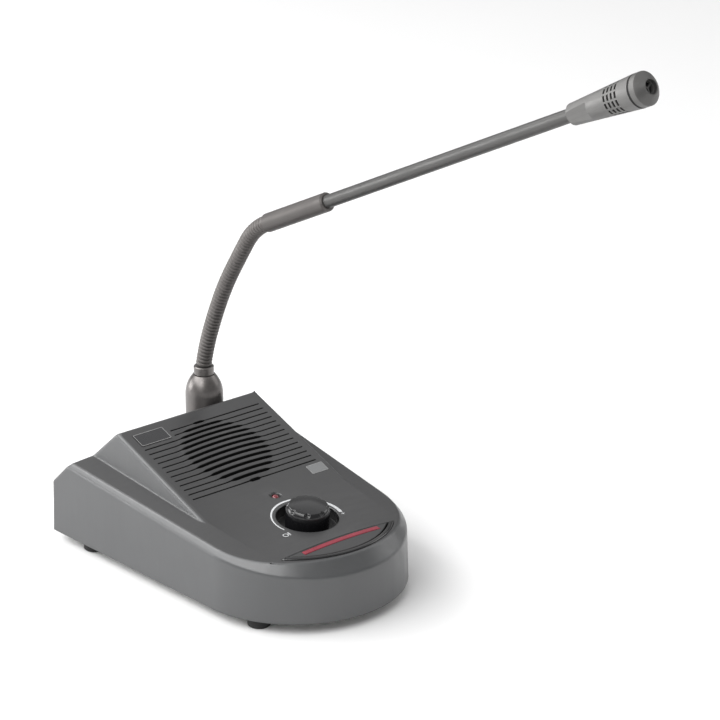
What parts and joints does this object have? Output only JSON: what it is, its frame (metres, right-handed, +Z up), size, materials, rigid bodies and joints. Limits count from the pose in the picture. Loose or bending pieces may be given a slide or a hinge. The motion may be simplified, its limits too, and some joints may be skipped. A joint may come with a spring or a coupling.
{
  "type": "desk intercom station with gooseneck microphone",
  "caption": "Desk microphone station: sloped base with domed speaker grille, volume knob, talk bar and lamp, and a ribbed gooseneck with a slim boom and slotted capsule.",
  "frame": {"origin": "on the table plane under the middle of the base", "axes": "+Z up, +X to the user's right, -Y towards the user; the gooseneck leans towards -Y"},
  "size_m": [0.1576, 0.3841, 0.3703],
  "materials": {
    "housing_grey": "fine moulded texture, dark grey",
    "plated_steel": "zinc-plated steel",
    "black_rubber": "matt black rubber",
    "black_cloth": "fine black acoustic cloth or paper",
    "black_plastic": "black moulded plastic",
    "copper_wire": "wound copper wire",
    "circuit_board": "green solder mask",
    "capacitor_sleeve": "dark blue shrink sleeve",
    "knob_black": "black, half gloss",
    "gloss_black": "polished black",
    "lamp_red": "clear red lamp body",
    "light_bar_red": "translucent raspberry red with fine ribs",
    "gunmetal": "warm dark satin lacquer on steel",
    "satin_grey": "satin grey lacquer on metal"
  },
  "bodies": {
    "base": {"top_housing": "housing_grey", "base_plate": "plated_steel", "feet": "black_rubber", "housing_screws": "plated_steel", "grille_cloth": "black_cloth", "speaker_gasket": "black_rubber", "speaker_frame": "plated_steel", "speaker_magnet": "black_plastic", "speaker_yoke": "plated_steel", "speaker_cone": "black_cloth", "speaker_coil": "copper_wire", "dust_cap": "black_plastic", "speaker_clips": "plated_steel", "main_board": "circuit_board", "board_screws": "plated_steel", "capacitors": "capacitor_sleeve", "amplifier_chip": "black_plastic", "dc_jack": "black_plastic", "line_jack": "black_plastic", "unit_socket": "black_plastic", "pot_body": "plated_steel", "pot_nut": "plated_steel", "status_led": "lamp_red", "led_holder": "black_plastic", "talk_frame": "gloss_black", "talk_hinge_pins": "plated_steel", "talk_board": "circuit_board", "talk_switch": "black_plastic", "bar_lamps": "lamp_red", "badge_plate": "gloss_black", "neck_ferrule": "gunmetal", "ferrule_washer": "plated_steel", "ferrule_nut": "plated_steel"},
    "volume": {"volume_knob": "knob_black", "pot_shaft": "plated_steel"},
    "talk": {"talk_button": "housing_grey", "light_bar": "light_bar_red"},
    "collar": {"hose_collar": "gunmetal"},
    "hose_1": {"hose_segment_1": "gunmetal"},
    "hose_2": {"hose_segment_2": "gunmetal"},
    "hose_3": {"hose_segment_3": "gunmetal"},
    "hose_4": {"hose_segment_4": "gunmetal"},
    "hose_5": {"hose_segment_5": "gunmetal"},
    "boom": {"sleeve": "gunmetal", "boom_tube": "satin_grey", "capsule_body": "satin_grey", "capsule_gauze": "black_cloth", "capsule_o_ring": "black_rubber", "capsule_cap": "satin_grey", "cap_guard": "satin_grey", "front_gauze": "black_cloth", "element_holder": "black_rubber", "electret_element": "satin_grey"}
  },
  "joints": [
    {"name": "volume_turn", "type": "hinge", "parent": "base", "child": "volume", "pos_m": [0, -0.05195, 0.05038], "axis": [0, 0.0924, -0.9957], "range_deg": [0, 300]},
    {"name": "talk_press", "type": "hinge", "parent": "base", "child": "talk", "pos_m": [0, -0.07819, 0.04092], "axis": [1, 0, 0], "range_deg": [0, 4], "stiffness_Nm_per_rad": 0.35, "springref_deg": -2.86},
    {"name": "gooseneck_swivel", "type": "hinge", "parent": "base", "child": "collar", "pos_m": [0.027, 0.088, 0.0825], "axis": [0, 0, 1], "range_deg": [-60, 60]},
    {"name": "neck_bend_1", "type": "hinge", "parent": "collar", "child": "hose_1", "pos_m": [0.027, 0.088, 0.0995], "axis": [0.9954, 0.0958, 0], "range_deg": [-12, 7]},
    {"name": "neck_bend_2", "type": "hinge", "parent": "hose_1", "child": "hose_2", "pos_m": [0.02768, 0.08094, 0.12423], "axis": [0.9954, 0.0958, 0], "range_deg": [-12, 7]},
    {"name": "neck_bend_3", "type": "hinge", "parent": "hose_2", "child": "hose_3", "pos_m": [0.0286, 0.07134, 0.1481], "axis": [0.9954, 0.0958, 0], "range_deg": [-12, 7]},
    {"name": "neck_bend_4", "type": "hinge", "parent": "hose_3", "child": "hose_4", "pos_m": [0.02974, 0.05951, 0.17093], "axis": [0.9954, 0.0958, 0], "range_deg": [-12, 7]},
    {"name": "neck_bend_5", "type": "hinge", "parent": "hose_4", "child": "hose_5", "pos_m": [0.03103, 0.04612, 0.19288], "axis": [0.9954, 0.0958, 0], "range_deg": [-12, 7]},
    {"name": "neck_bend_6", "type": "hinge", "parent": "hose_5", "child": "boom", "pos_m": [0.03283, 0.02745, 0.21007], "axis": [0.9954, 0.0958, 0], "range_deg": [-12, 7]}
  ]
}
